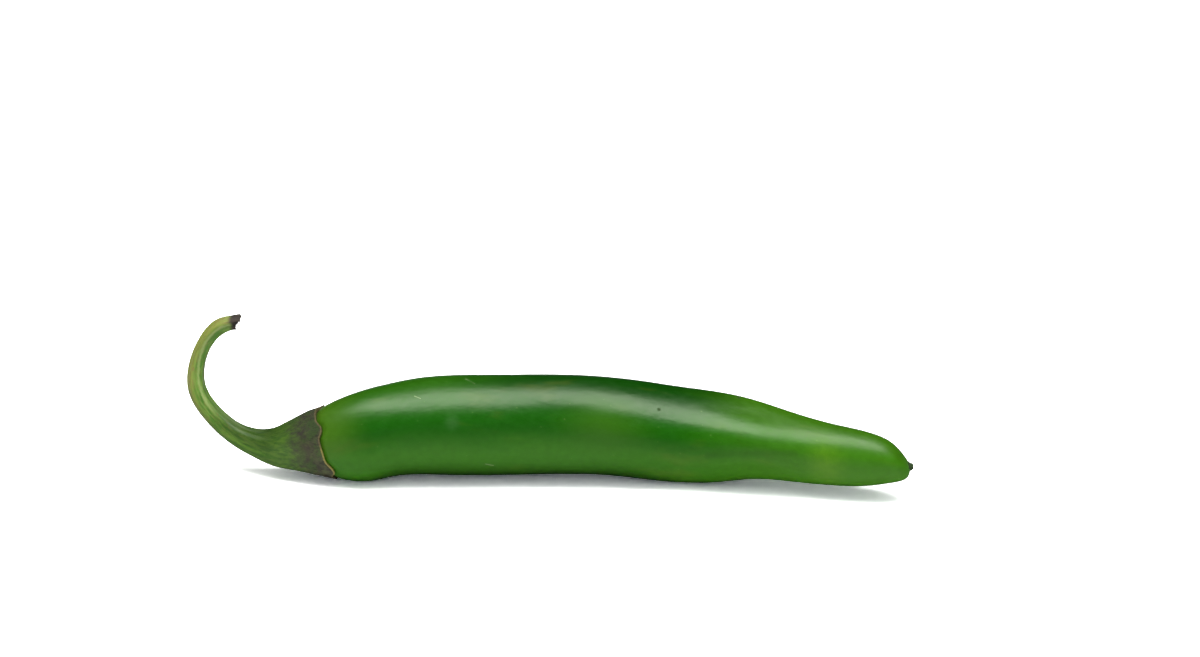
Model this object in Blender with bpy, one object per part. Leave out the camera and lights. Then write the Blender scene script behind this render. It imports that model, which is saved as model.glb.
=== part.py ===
"""Green chilli pepper, as picked, lying on a flat surface: the pod, and its calyx with the stem.

Run it with: blender --background --python part.py

Blender's unit is the metre; the sizes below are in millimetres and are scaled once, when a
mesh is made. +X runs along the pod from the stem end to the tip, +Y is away from the viewer
and +Z is up. The pepper is drawn about the middle of its pod, and is moved at the end so that
the origin lies under the middle of its box, on the surface that it rests on.
"""
import math

import bmesh
import bpy
import numpy as np

MM = 0.001
BACK = np.array((0.0, 1.0, 0.0))

# Driving dimensions of the pod
POD_RADIUS = 8.25
POD_BASE = -42.5          # the pod's hidden end, inside the calyx
POD_TIP = 56.7            # the blossom end

# The pod's middle line and girth: along, sideways, height, girth as a share of POD_RADIUS, and
# how far its upper front is flattened there, as a share of the radius. It rests on its shoulder
# and its belly, and the thin end bends forward and stays just clear of the surface.
POD_STATIONS = (
    (-42.5, -0.45, 5.55, 0.915, 0.0),
    (-38.0, -0.25, 5.95, 0.915, -0.020),
    (-32.0, 0.15, 7.14, 0.915, -0.045),
    (-26.0, 0.75, 8.40, 0.940, -0.008),
    (-19.0, 1.35, 8.80, 0.990, -0.003),
    (-9.0, 1.95, 8.75, 0.998, -0.014),
    (1.0, 2.20, 8.88, 0.992, -0.028),
    (8.0, 2.12, 8.64, 0.977, -0.012),
    (14.0, 1.95, 8.05, 0.970, 0.012),
    (20.0, 1.65, 7.50, 0.943, 0.028),
    (26.0, 0.45, 7.60, 0.883, 0.068),
    (31.0, -1.11, 7.92, 0.782, 0.105),
    (36.9, -2.49, 7.38, 0.690, 0.062),
    (43.9, -4.23, 6.75, 0.608, -0.004),
    (50.8, -5.88, 6.59, 0.551, -0.010),
    (54.2, -6.67, 6.22, 0.527, 0.0),
    (56.7, -7.25, 5.15, 0.495, 0.0),
)

# Round ends of the pod: where the rounding starts, and how blunt it is
SHOULDER_START = -29.3
TIP_START = 43.8
SHOULDER_POWER = 2.0
TIP_POWER = 3.0

# The neck and the calyx lean down towards the stem
NECK_LEAN = math.radians(16.0)
LEAN_FULL = -38.5         # the lean is whole up to here
LEAN_GONE = -24.0         # and has faded here

# Shallow lobes that run along the pod and turn slowly
LOBES = 3
LOBE_HEIGHT = 0.004
LOBE_TURN = math.radians(0.9)      # for each millimetre along the pod
SECOND_LOBES = 5
SECOND_LOBE_HEIGHT = 0.003

# Where the upper front is flattened: the angles at which the flattening sets in and ends
FLAT_LOBES = 3
FLAT_SIDE = math.radians(170.0)
FLAT_FROM = (math.radians(55.0), math.radians(85.0))
FLAT_TO = (math.radians(190.0), math.radians(240.0))

# Dry remnant of the flower's style, above the middle of the blunt tip
STYLE_RADIUS = 0.50
STYLE_END = 0.85          # share of its radius that is left at its end
STYLE_LENGTH = 0.45
STYLE_RISE = 0.85
STYLE_RISE_POWER = 4      # the rise is confined to the last of the tip

# Calyx: a thin cup round the pod's neck with small teeth, which draws in to the stem
CUP_GAP = 0.3
CUP_WALL = 0.42
RIM = -37.6
TEETH = 5
TOOTH_LENGTH = 0.8
TOOTH_TURN = math.radians(40.0)
TOOTH_MEAN = 0.4          # the mean of the teeth, so that they swing about the rim
RIM_HOLD = 1.6            # how far up the calyx its edge still follows the pod's skin

# The pod's skin is pressed in under the calyx and swells just past its edge
SEAT_SHARE = 0.055        # of the radius
SEAT_BEFORE_RIM = 0.4
SEAT_PAST_RIM = 0.9

# Calyx and stem: along, sideways, height, radius, from the rim to the cut end
STEM_STATIONS = (
    (-37.6, -0.30, 6.12, 6.30),
    (-41.0, -0.20, 5.60, 5.08),
    (-43.4, -0.05, 5.24, 4.20),
    (-46.2, 0.20, 4.86, 3.30),
    (-49.8, 0.95, 5.22, 2.33),
    (-53.4, 2.10, 6.48, 1.83),
    (-57.2, 3.60, 9.35, 1.60),
    (-59.75, 5.20, 13.05, 1.47),
    (-59.70, 6.55, 17.20, 1.28),
    (-58.15, 7.20, 20.80, 1.23),
    (-55.6, 7.40, 23.25, 1.22),
    (-53.1, 7.40, 24.10, 1.18),
)
RIBS = 5
RIB_ON_CALYX = 0.022      # height of the ribs, as a share of the radius
RIB_ON_STEM = 0.075
RIB_GROWS_TO = 14.0       # distance from the rim at which the ribs are at full height
RIB_TURN = math.radians(2.0)       # for each millimetre along the stem
CALYX_LENGTH = 9.0        # the lean of the rim has faded this far up the stem
WAY_STEP = 0.5            # the stem's direction is taken over a stretch of this much each way

# The stem's cut end swells a little, and its broken face is uneven
CUT_SWELL = 0.30
CUT_SWELL_LENGTH = 1.4
CUT_SLANT = 0.45
CUT_TEETH = 3
CUT_RAG = 0.20
CUT_HOLLOW = 0.40

# Fineness of the solids; the rings crowd towards both ends
END_CROWDING = 0.55
POD_SIDES = 36
POD_RINGS = 56
STEM_SIDES = 30
CUP_RINGS = 6
STEM_RINGS = 44

SKIN = ("pod_skin", (0.055, 0.150, 0.010), 0.22)
CALYX = ("calyx_green", (0.115, 0.170, 0.045), 0.55)


def smooth_through(stations):
    """Natural cubic spline: gives a function from the first column to the others."""
    table = np.array(stations, dtype=float)
    knots, values = table[:, 0], table[:, 1:]
    direction = 1.0 if knots[-1] > knots[0] else -1.0
    knots = knots * direction
    steps = np.diff(knots)
    slopes = np.diff(values, axis=0) / steps[:, None]
    count = len(knots)
    system = np.eye(count)
    bends = np.zeros_like(values)
    for i in range(1, count - 1):
        system[i, i - 1:i + 2] = steps[i - 1], 2.0 * (steps[i - 1] + steps[i]), steps[i]
        bends[i] = 6.0 * (slopes[i] - slopes[i - 1])
    bends = np.linalg.solve(system, bends)

    def at(where):
        where = min(max(where * direction, knots[0]), knots[-1])
        i = min(int(np.searchsorted(knots, where, side="right")) - 1, count - 2)
        step, near, far = steps[i], where - knots[i], knots[i + 1] - where
        return ((bends[i] * far ** 3 + bends[i + 1] * near ** 3) / (6.0 * step)
                + (values[i] / step - bends[i] * step / 6.0) * far
                + (values[i + 1] / step - bends[i + 1] * step / 6.0) * near)

    return at


def smooth_path(stations):
    """Spline through points in space and their radius, from 0 to its length."""
    table = np.array(stations, dtype=float)
    strides = np.linalg.norm(np.diff(table[:, :3], axis=0), axis=1)
    lengths = np.concatenate(([0.0], np.cumsum(strides)))
    return smooth_through(np.column_stack((lengths, table))), float(lengths[-1])


def fade(value, start, end):
    """Smooth step from 0 at start to 1 at end."""
    share = min(max((value - start) / (end - start), 0.0), 1.0)
    return share * share * (3.0 - 2.0 * share)


def even_ends(count):
    """Shares from 0 to 1 that lie closer together at both ends."""
    shares = np.linspace(0.0, 1.0, count)
    rounded = (1.0 - np.cos(math.pi * shares)) / 2.0
    return shares + END_CROWDING * (rounded - shares)


pod_line = smooth_through(POD_STATIONS)
stem_line, stem_length = smooth_path(STEM_STATIONS)


def round_end(along, start, end, power):
    """Share of the full girth that is left between start and end, where the pod closes."""
    into = max((along - start) / (end - start), 0.0)
    return math.sqrt(max(1.0 - into ** power, 0.0))


def pod_point(along, angle, extra=0.0):
    """Point of the pod's skin, or of a skin that lies extra millimetres outside it.

    The angle is 0 at the back and grows over the top.
    """
    sideways, height, girth, flat = pod_line(along)
    tip_share = round_end(along, TIP_START, POD_TIP + extra, TIP_POWER)
    height += STYLE_RISE * (1.0 - tip_share) ** STYLE_RISE_POWER
    lobes = LOBE_HEIGHT * math.cos(LOBES * angle + LOBE_TURN * along)
    lobes += SECOND_LOBE_HEIGHT * math.cos(SECOND_LOBES * angle - LOBE_TURN * along)
    front = fade(angle, *FLAT_FROM) * (1.0 - fade(angle, *FLAT_TO))
    lobes += flat * front * math.cos(FLAT_LOBES * (angle - FLAT_SIDE))
    radius = (girth * POD_RADIUS + extra) * (1.0 + lobes) * tip_share
    radius *= round_end(along, SHOULDER_START, POD_BASE - extra, SHOULDER_POWER)
    past_rim = along - rim_along(angle)
    radius *= 1.0 - SEAT_SHARE * (1.0 - fade(past_rim, -SEAT_BEFORE_RIM, SEAT_PAST_RIM))
    lean = NECK_LEAN * (1.0 - fade(along, LEAN_FULL, LEAN_GONE))
    out = radius * math.cos(angle)
    up = radius * math.sin(angle)
    return np.array((along - up * math.sin(lean), sideways + out, height + up * math.cos(lean)))


def rim_along(angle):
    """How far along the pod the calyx's toothed edge reaches."""
    tooth = max(math.cos(TEETH * angle + TOOTH_TURN), 0.0) ** 2
    return RIM + TOOTH_LENGTH * (tooth - TOOTH_MEAN)


def stem_way(distance):
    """Direction in which the stem runs, away from the pod."""
    way = stem_line(distance + WAY_STEP)[:3] - stem_line(distance - WAY_STEP)[:3]
    return way / np.linalg.norm(way)


def stem_point(distance, angle):
    """Point of the outside of the calyx and stem, at a distance from the rim along its path."""
    x, y, z, radius = stem_line(distance)
    forward = stem_way(distance)
    rise = math.atan2(forward[2], -forward[0])
    rise -= (rise + NECK_LEAN) * (1.0 - fade(distance, 0.0, CALYX_LENGTH))
    up = np.array((math.sin(rise), 0.0, math.cos(rise)))
    rib_height = RIB_ON_CALYX + (RIB_ON_STEM - RIB_ON_CALYX) * fade(distance, 0.0, RIB_GROWS_TO)
    radius *= 1.0 + rib_height * math.cos(RIBS * angle + RIB_TURN * distance)
    radius += CUT_SWELL * fade(distance, stem_length - CUT_SWELL_LENGTH, stem_length)
    return np.array((x, y, z)) + radius * (math.cos(angle) * BACK + math.sin(angle) * up)


def ring_angles(sides):
    return [2.0 * math.pi * i / sides for i in range(sides)]


def pod_rings():
    """Rings of the pod from its hidden base to the style at its tip, and the two end points."""
    angles = ring_angles(POD_SIDES)
    rings = []
    for share in even_ends(POD_RINGS + 2)[1:-1]:
        along = POD_BASE + (POD_TIP - POD_BASE) * share
        rings.append([pod_point(along, angle) for angle in angles])
    sideways, height, *_ = pod_line(POD_TIP)
    foot = np.array((POD_TIP, sideways, height + STYLE_RISE))
    for reach, radius in ((0.0, STYLE_RADIUS), (STYLE_LENGTH, STYLE_RADIUS * STYLE_END)):
        rings.append([foot + (reach, radius * math.cos(a), radius * math.sin(a)) for a in angles])
    first = np.array((POD_BASE, *pod_line(POD_BASE)[:2]))
    last = foot + (STYLE_LENGTH, 0.0, 0.0)
    return first, rings, last


def stem_rings():
    """Rings up the inside of the cup, over its toothed rim and along the stem to the cut."""
    angles = ring_angles(STEM_SIDES)
    rings = []
    cup_bottom = POD_BASE - CUP_GAP
    for i in range(1, CUP_RINGS + 1):
        reach = 1.0 - math.cos(0.5 * math.pi * i / CUP_RINGS)
        rings.append([pod_point(cup_bottom + (rim_along(a) - cup_bottom) * reach, a, CUP_GAP)
                      for a in angles])
    pulls = [pod_point(rim_along(a), a, CUP_GAP + CUP_WALL) - stem_point(0.0, a) for a in angles]
    for share in even_ends(STEM_RINGS):
        distance = stem_length * share
        hold = math.exp(-(distance / RIM_HOLD) ** 2)
        rings.append([stem_point(distance, a) + pull * hold for a, pull in zip(angles, pulls)])
    end_way = stem_way(stem_length)
    for i, a in enumerate(angles):
        uneven = CUT_RAG * math.cos(CUT_TEETH * a + 1.0) - CUT_SLANT * math.sin(a)
        rings[-1][i] = rings[-1][i] + end_way * uneven
    first = np.array((cup_bottom, *pod_line(POD_BASE)[:2]))
    last = stem_line(stem_length)[:3] - end_way * CUT_HOLLOW
    return first, rings, last


def closed_mesh(name, first, rings, last):
    """One closed skin through the rings, with a fan of triangles at each end."""
    sides = len(rings[0])
    points = [first] + [point for ring in rings for point in ring] + [last]
    faces = []
    for i in range(sides):
        j = (i + 1) % sides
        faces.append((0, 1 + j, 1 + i))
        for k in range(len(rings) - 1):
            near, far = 1 + k * sides, 1 + (k + 1) * sides
            faces.append((near + i, near + j, far + j, far + i))
        end = 1 + (len(rings) - 1) * sides
        faces.append((end + i, end + j, len(points) - 1))
    mesh = bpy.data.meshes.new(name)
    mesh.from_pydata([tuple(point) for point in points], [], faces)
    shell = bmesh.new()
    shell.from_mesh(mesh)
    bmesh.ops.recalc_face_normals(shell, faces=shell.faces)
    bmesh.ops.triangulate(shell, faces=shell.faces)
    shell.to_mesh(mesh)
    shell.free()
    return mesh


def lay_on_surface(mesh):
    """Presses what would reach below the surface flat, as small spots to rest on."""
    for vertex in mesh.vertices:
        vertex.co.z = max(vertex.co.z, 0.0)


def make_material(name, colour, roughness):
    material = bpy.data.materials.new(name)
    material.use_nodes = True
    shader = material.node_tree.nodes["Principled BSDF"]
    shader.inputs["Base Color"].default_value = (*colour, 1.0)
    shader.inputs["Roughness"].default_value = roughness
    shader.inputs["Metallic"].default_value = 0.0
    material.diffuse_color = (*colour, 1.0)
    return material


def make_piece(name, shape, finish):
    mesh = closed_mesh(name, *shape)
    lay_on_surface(mesh)
    mesh.shade_smooth()
    mesh.materials.append(make_material(*finish))
    piece = bpy.data.objects.new(name, mesh)
    bpy.context.collection.objects.link(piece)
    return piece


def centre_on_base(pieces):
    """Moves the meshes so that the origin is under the middle of their common box."""
    points = np.array([vertex.co for piece in pieces for vertex in piece.data.vertices])
    low, high = points.min(axis=0), points.max(axis=0)
    middle = ((low[0] + high[0]) / 2.0, (low[1] + high[1]) / 2.0, low[2])
    for piece in pieces:
        for vertex in piece.data.vertices:
            vertex.co = [(value - centre) * MM for value, centre in zip(vertex.co, middle)]


def main():
    for item in list(bpy.data.objects):
        bpy.data.objects.remove(item, do_unlink=True)
    pod = make_piece("pod", pod_rings(), SKIN)
    calyx_stem = make_piece("calyx_stem", stem_rings(), CALYX)
    centre_on_base((pod, calyx_stem))


main()
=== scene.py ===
"""A green chilli pepper on a pale floor: the glossy pod, the calyx with its hooked stem, and the stage.

The sizes are in millimetres while a piece is being drawn, about the middle of the pod, and each
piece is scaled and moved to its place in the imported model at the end.
"""
import math

import bmesh
import bpy
import numpy as np
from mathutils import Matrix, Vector


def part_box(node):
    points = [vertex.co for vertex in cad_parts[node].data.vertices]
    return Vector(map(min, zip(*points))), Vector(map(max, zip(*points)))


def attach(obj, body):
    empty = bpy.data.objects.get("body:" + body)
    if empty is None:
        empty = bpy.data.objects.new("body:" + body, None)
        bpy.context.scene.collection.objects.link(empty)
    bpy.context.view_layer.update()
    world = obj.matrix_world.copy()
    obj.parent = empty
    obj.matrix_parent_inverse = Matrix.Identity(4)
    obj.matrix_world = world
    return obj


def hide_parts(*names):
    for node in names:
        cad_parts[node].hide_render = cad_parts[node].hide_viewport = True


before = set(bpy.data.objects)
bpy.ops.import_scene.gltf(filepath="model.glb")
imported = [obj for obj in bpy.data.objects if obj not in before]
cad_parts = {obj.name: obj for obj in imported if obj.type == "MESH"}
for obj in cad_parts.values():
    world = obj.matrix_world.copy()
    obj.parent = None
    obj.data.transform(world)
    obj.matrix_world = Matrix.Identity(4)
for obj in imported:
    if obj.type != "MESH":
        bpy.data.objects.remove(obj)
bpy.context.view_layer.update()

bl_info = {
    "name": "Chilli pepper",
    "version": (1, 0, 0),
    "blender": (4, 5, 0),
    "location": "3D View > Sidebar > Pepper",
    "description": "Grows a green chilli pepper and sets it on a stage",
    "category": "Object",
}

MM = 0.001

# The pod: along, sideways, height, girth as a share of the radius, flattening of its upper front
POD_RADIUS = 8.25
POD_BASE = -42.5
POD_TIP = 56.7
POD_STATIONS = (
    (-42.5, -0.45, 5.55, 0.915, 0.0),
    (-38.0, -0.25, 5.95, 0.915, -0.020),
    (-32.0, 0.15, 7.14, 0.915, -0.045),
    (-26.0, 0.75, 8.40, 0.940, -0.008),
    (-19.0, 1.35, 8.80, 0.990, -0.003),
    (-9.0, 1.95, 8.75, 0.998, -0.014),
    (1.0, 2.20, 8.88, 0.992, -0.028),
    (8.0, 2.12, 8.64, 0.977, -0.012),
    (14.0, 1.95, 8.05, 0.970, 0.012),
    (20.0, 1.65, 7.50, 0.943, 0.028),
    (26.0, 0.45, 7.60, 0.883, 0.068),
    (31.0, -1.11, 7.92, 0.782, 0.105),
    (36.9, -2.49, 7.38, 0.690, 0.062),
    (43.9, -4.23, 6.75, 0.608, -0.004),
    (50.8, -5.88, 6.59, 0.551, -0.010),
    (54.2, -6.67, 6.22, 0.527, 0.0),
    (56.7, -7.25, 5.15, 0.495, 0.0),
)
FLAT_LOBES = 3
FLAT_SIDE = math.radians(170.0)
FLAT_FROM = (math.radians(55.0), math.radians(85.0))
FLAT_TO = (math.radians(190.0), math.radians(240.0))
SHOULDER_START = -29.3
TIP_START = 43.8
SHOULDER_POWER = 2.0
TIP_POWER = 3.0
NECK_LEAN = math.radians(16.0)
LEAN_FULL = -38.5
LEAN_GONE = -24.0
LOBES = 3
LOBE_HEIGHT = 0.004
LOBE_TURN = math.radians(0.9)
SECOND_LOBES = 5
SECOND_LOBE_HEIGHT = 0.003
UNDULATION = 0.030
STYLE_RISE = 0.85
STYLE_RISE_POWER = 4
STYLE_LENGTH = 0.45
STYLE_RADIUS = 0.50
STYLE_SUNK = 0.5

# The calyx: its edge, its teeth, and where it seats on the skin
RIM = -37.6
TEETH = 5
TOOTH_LENGTH = 0.8
TOOTH_TURN = math.radians(40.0)
TOOTH_MEAN = 0.4
RIM_HOLD = 1.6
SEAT_SHARE = 0.055
SEAT_BEFORE_RIM = 0.4
SEAT_PAST_RIM = 0.9

# Calyx and stem: along, sideways, height, radius, from the rim to the cut end
STEM_STATIONS = (
    (-37.6, -0.30, 6.12, 6.30),
    (-41.0, -0.20, 5.60, 5.08),
    (-43.4, -0.05, 5.24, 4.20),
    (-46.2, 0.20, 4.86, 3.30),
    (-49.8, 0.95, 5.22, 2.33),
    (-53.4, 2.10, 6.48, 1.83),
    (-57.2, 3.60, 9.35, 1.60),
    (-59.75, 5.20, 13.05, 1.47),
    (-59.70, 6.55, 17.20, 1.28),
    (-58.15, 7.20, 20.80, 1.23),
    (-55.6, 7.40, 23.35, 1.28),
    (-52.85, 7.40, 24.05, 1.04),
)
RIBS = 5
RIB_ON_CALYX = 0.022
RIB_ON_STEM = 0.075
RIB_GROWS_TO = 14.0
RIB_TURN = math.radians(2.0)
CALYX_LENGTH = 9.0
WAY_STEP = 0.5
CUT_SWELL = 0.18
CUT_SWELL_LENGTH = 1.4
CUT_SLANT = 0.70
CUT_TEETH = 3
CUT_RAG = 0.20
CUT_HOLLOW = 0.40

END_CROWDING = 0.55       # how much the rings of a wrapped skin crowd towards its ends
LINE_STEP = 0.25          # distance between the points of a middle line
SIDE_MIDDLE = 0.226       # middle of the pod's sideways reach, as it is drawn
WELD = 0.0005             # points closer than this are one


# Splines for the middle lines

def smooth_through(stations):
    """Natural cubic spline: gives a function from the first column to the others."""
    table = np.array(stations, dtype=float)
    knots, values = table[:, 0], table[:, 1:]
    steps = np.diff(knots)
    slopes = np.diff(values, axis=0) / steps[:, None]
    count = len(knots)
    system = np.eye(count)
    bends = np.zeros_like(values)
    for i in range(1, count - 1):
        system[i, i - 1:i + 2] = steps[i - 1], 2.0 * (steps[i - 1] + steps[i]), steps[i]
        bends[i] = 6.0 * (slopes[i] - slopes[i - 1])
    bends = np.linalg.solve(system, bends)

    def at(where):
        where = min(max(where, knots[0]), knots[-1])
        i = min(int(np.searchsorted(knots, where, side="right")) - 1, count - 2)
        step, near, far = steps[i], where - knots[i], knots[i + 1] - where
        return ((bends[i] * far ** 3 + bends[i + 1] * near ** 3) / (6.0 * step)
                + (values[i] / step - bends[i] * step / 6.0) * far
                + (values[i + 1] / step - bends[i + 1] * step / 6.0) * near)

    return at


def smooth_path(stations):
    """Spline through points in space and their radius, from 0 to its length."""
    table = np.array(stations, dtype=float)
    strides = np.linalg.norm(np.diff(table[:, :3], axis=0), axis=1)
    lengths = np.concatenate(([0.0], np.cumsum(strides)))
    return smooth_through(np.column_stack((lengths, table))), float(lengths[-1])


pod_line = smooth_through(POD_STATIONS)
stem_line, stem_length = smooth_path(STEM_STATIONS)


def stem_way(distance):
    """Direction in which the stem runs, away from the pod."""
    way = stem_line(distance + WAY_STEP)[:3] - stem_line(distance - WAY_STEP)[:3]
    return way / np.linalg.norm(way)


def step_between(value, start, end):
    """Smooth step from 0 at start to 1 at end, for a plain number."""
    share = min(max((value - start) / (end - start), 0.0), 1.0)
    return share * share * (3.0 - 2.0 * share)


# Node trees

class Flow:
    """A value that flows through a node tree; arithmetic on it adds Math nodes."""

    def __init__(self, tree, socket):
        self.tree = tree
        self.socket = socket

    def math(self, operation, *values):
        return self.tree.add("ShaderNodeMath", {"operation": operation}, dict(enumerate(values)))

    def __add__(self, other):
        return self.math("ADD", self, other)

    def __radd__(self, other):
        return self.math("ADD", other, self)

    def __sub__(self, other):
        return self.math("SUBTRACT", self, other)

    def __rsub__(self, other):
        return self.math("SUBTRACT", other, self)

    def __mul__(self, other):
        return self.math("MULTIPLY", self, other)

    def __rmul__(self, other):
        return self.math("MULTIPLY", other, self)

    def __truediv__(self, other):
        return self.math("DIVIDE", self, other)

    def __pow__(self, other):
        return self.math("POWER", self, other)

    def __gt__(self, other):
        return self.math("GREATER_THAN", self, other)

    def cos(self):
        return self.math("COSINE", self)

    def sin(self):
        return self.math("SINE", self)

    def rounded(self):
        return self.math("ROUND", self)

    def root(self):
        return self.math("SQRT", self)

    def at_least(self, floor):
        return self.math("MAXIMUM", self, floor)

    def at_most(self, ceiling):
        return self.math("MINIMUM", self, ceiling)

    def fade(self, start, end):
        """Smooth step from 0 at start to 1 at end."""
        return self.tree.add("ShaderNodeMapRange", {"interpolation_type": "SMOOTHSTEP"},
                             {"Value": self, "From Min": start, "From Max": end})

    def other(self, name):
        """Another output of the same node."""
        return Flow(self.tree, enabled(self.socket.node.outputs, name))


def enabled(sockets, key):
    """The shown socket with this name, or at this place among the shown ones."""
    shown = [socket for socket in sockets if socket.enabled]
    if isinstance(key, int):
        return shown[key]
    return next(socket for socket in shown if socket.name == key)


class Tree:
    """A node tree under construction."""

    def __init__(self, nodes):
        self.nodes = nodes

    def add(self, kind, settings=None, sockets=None, out=0):
        """Adds a node: its settings are set first, then the values or links of its sockets."""
        node = self.nodes.nodes.new(kind)
        for name, value in (settings or {}).items():
            setattr(node, name, value)
        for key, value in (sockets or {}).items():
            socket = enabled(node.inputs, key)
            for item in value if isinstance(value, list) else [value]:
                if isinstance(item, Flow):
                    self.nodes.links.new(item.socket, socket)
                else:
                    socket.default_value = item
        outputs = [socket for socket in node.outputs if socket.enabled]
        return Flow(self, enabled(node.outputs, out)) if outputs else None

    def vector(self, operation, *values):
        return self.add("ShaderNodeVectorMath", {"operation": operation}, dict(enumerate(values)))

    def combine(self, x, y, z):
        return self.add("ShaderNodeCombineXYZ", {}, {"X": x, "Y": y, "Z": z})

    def mix(self, kind, factor, a, b):
        """Mix of two numbers (FLOAT), vectors (VECTOR) or colours (RGBA)."""
        return self.add("ShaderNodeMix", {"data_type": kind}, {"Factor": factor, "A": a, "B": b})

    def tint(self, share, painted_shade_under, over):
        """A colour with a share of another one over it."""
        colours = [colour if isinstance(colour, Flow) else (*colour, 1.0) for colour in (painted_shade_under, over)]
        return self.mix("RGBA", share, *colours)

    def moved(self, place, way, amount):
        """A place moved by an amount of a vector."""
        return self.vector("ADD", place, self.vector("SCALE", way, amount))

    def parts(self, vector):
        """The three numbers of a vector."""
        x = self.add("ShaderNodeSeparateXYZ", {}, {"Vector": vector}, "X")
        return x, x.other("Y"), x.other("Z")

    def noise(self, vector, scale, detail=2.0, roughness=0.5):
        """Noise from 0 to 1 about 0.5."""
        return self.add("ShaderNodeTexNoise", {},
                        {"Vector": vector, "Scale": scale, "Detail": detail, "Roughness": roughness})


class GrowthTree(Tree):
    """A geometry node tree with named inputs."""

    def __init__(self, name, inputs):
        super().__init__(bpy.data.node_groups.new(name, "GeometryNodeTree"))
        interface = self.nodes.interface
        interface.new_socket("Geometry", in_out="OUTPUT", socket_type="NodeSocketGeometry")
        interface.new_socket("Geometry", in_out="INPUT", socket_type="NodeSocketGeometry")
        kinds = {int: "NodeSocketInt", float: "NodeSocketFloat", str: "NodeSocketObject"}
        for label, value in inputs.items():
            socket = interface.new_socket(label, in_out="INPUT", socket_type=kinds[type(value)])
            if not isinstance(value, str):
                socket.default_value = value
        self.given_by = self.nodes.nodes.new("NodeGroupInput")

    def given(self, label):
        return Flow(self, self.given_by.outputs[label])

    def finish(self, *pieces):
        """Joins the pieces and gives them out."""
        whole = self.add("GeometryNodeJoinGeometry", {}, {"Geometry": list(pieces)})
        whole = self.add("GeometryNodeRealizeInstances", {}, {"Geometry": whole})
        self.add("NodeGroupOutput", {}, {"Geometry": whole})

    def attribute(self, name, kind="FLOAT"):
        return self.add("GeometryNodeInputNamedAttribute", {"data_type": kind}, {"Name": name})

    def store(self, geometry, name, kind, value):
        return self.add("GeometryNodeStoreNamedAttribute", {"data_type": kind, "domain": "POINT"},
                        {"Geometry": geometry, "Name": name, "Value": value})


# Rules that the pod and the calyx share

def crowd_ends(share):
    """Shares from 0 to 1 that lie closer together at both ends."""
    rounded = (1.0 - (share * math.pi).cos()) * 0.5
    return share + (rounded - share) * END_CROWDING


def round_end(along, start, end, power):
    """Share of the full girth that is left between start and end, where the pod closes."""
    into = ((along - start) / (end - start)).at_least(0.0)
    return (1.0 - into ** power).at_least(0.0) ** 0.5


def noise_round(tree, along, angle, pace, girth, scale=1.0, detail=1.0, roughness=0.5):
    """Noise from -0.5 to 0.5 that meets itself round a piece, and changes along it at a pace."""
    spot = tree.combine(along * pace, angle.cos() * girth, angle.sin() * girth)
    return tree.noise(spot, scale, detail, roughness) - 0.5


def rim_along(tree, angle):
    """How far along the pod the calyx's toothed, ragged edge reaches."""
    tooth = (angle * TEETH + TOOTH_TURN).cos().at_least(0.0) ** 2.0
    round_the_rim = tree.combine(angle.cos(), angle.sin(), 0.0)
    rag = tree.noise(round_the_rim, 3.1, 4.0, 0.65) - 0.5
    return RIM + (tooth - TOOTH_MEAN) * TOOTH_LENGTH + rag * tree.given("Rim Rag")


def on_line(tree, line, along, first, last, names):
    """Reads a middle line between its two nearest points: its position, then the named numbers."""
    place = ((along - first) / LINE_STEP).at_least(0.0).at_most((last - first) / LINE_STEP - 0.001)
    near = place.math("FLOOR", place)
    share = place - near
    fields = [("FLOAT_VECTOR", "VECTOR", tree.add("GeometryNodeInputPosition"))]
    fields += [("FLOAT", "FLOAT", tree.attribute(name)) for name in names]
    found = []
    for kind, mix_kind, field in fields:
        ends = [tree.add("GeometryNodeSampleIndex", {"data_type": kind, "domain": "POINT"},
                         {"Geometry": line, "Value": field, "Index": index})
                for index in (near, near + 1.0)]
        found.append(tree.mix(mix_kind, share, *ends))
    return found


def pod_skin(tree, line, along, angle, extra):
    """Point of the pod's skin, or of one that lies extra outside it, and its straightened place."""
    centre, girth, flat = on_line(tree, line, along, POD_BASE, POD_TIP, ("girth", "flat"))
    tip_share = round_end(along, TIP_START, extra + POD_TIP, TIP_POWER)
    rise = (1.0 - tip_share) ** STYLE_RISE_POWER * STYLE_RISE
    lobes = (angle * LOBES + along * LOBE_TURN).cos() * tree.given("Lobe Height")
    lobes = lobes + (angle * SECOND_LOBES - along * LOBE_TURN).cos() * SECOND_LOBE_HEIGHT
    front = angle.fade(*FLAT_FROM) * (1.0 - angle.fade(*FLAT_TO))
    lobes = lobes + ((angle - FLAT_SIDE) * FLAT_LOBES).cos() * front * flat
    waves = noise_round(tree, along, angle, 0.045, 1.05, roughness=0.4)
    pits = noise_round(tree, along, angle, 0.16, 1.6)
    lobes = lobes + waves * tree.given("Undulation") + pits * tree.given("Dents")
    full = girth * tree.given("Radius") + extra
    radius = full * (lobes + 1.0) * tip_share
    radius = radius * round_end(along, SHOULDER_START, POD_BASE - extra, SHOULDER_POWER)
    past_rim = along - rim_along(tree, angle)
    seat = (1.0 - past_rim.fade(-SEAT_BEFORE_RIM, SEAT_PAST_RIM)) * SEAT_SHARE
    radius = radius * (1.0 - seat)
    lean = (1.0 - along.fade(LEAN_FULL, LEAN_GONE)) * tree.given("Neck Lean")
    out = radius * angle.cos()
    up = radius * angle.sin()
    _, sideways, height = tree.parts(centre)
    place = tree.combine(along - up * lean.sin(), sideways + out, height + rise + up * lean.cos())
    return place, tree.combine(along, out, up)


POD_SIZES = {
    "Radius": POD_RADIUS,
    "Lobe Height": LOBE_HEIGHT,
    "Undulation": UNDULATION,
    "Dents": 0.012,
    "Neck Lean": NECK_LEAN,
    "Rim Rag": 0.40,
}


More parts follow.
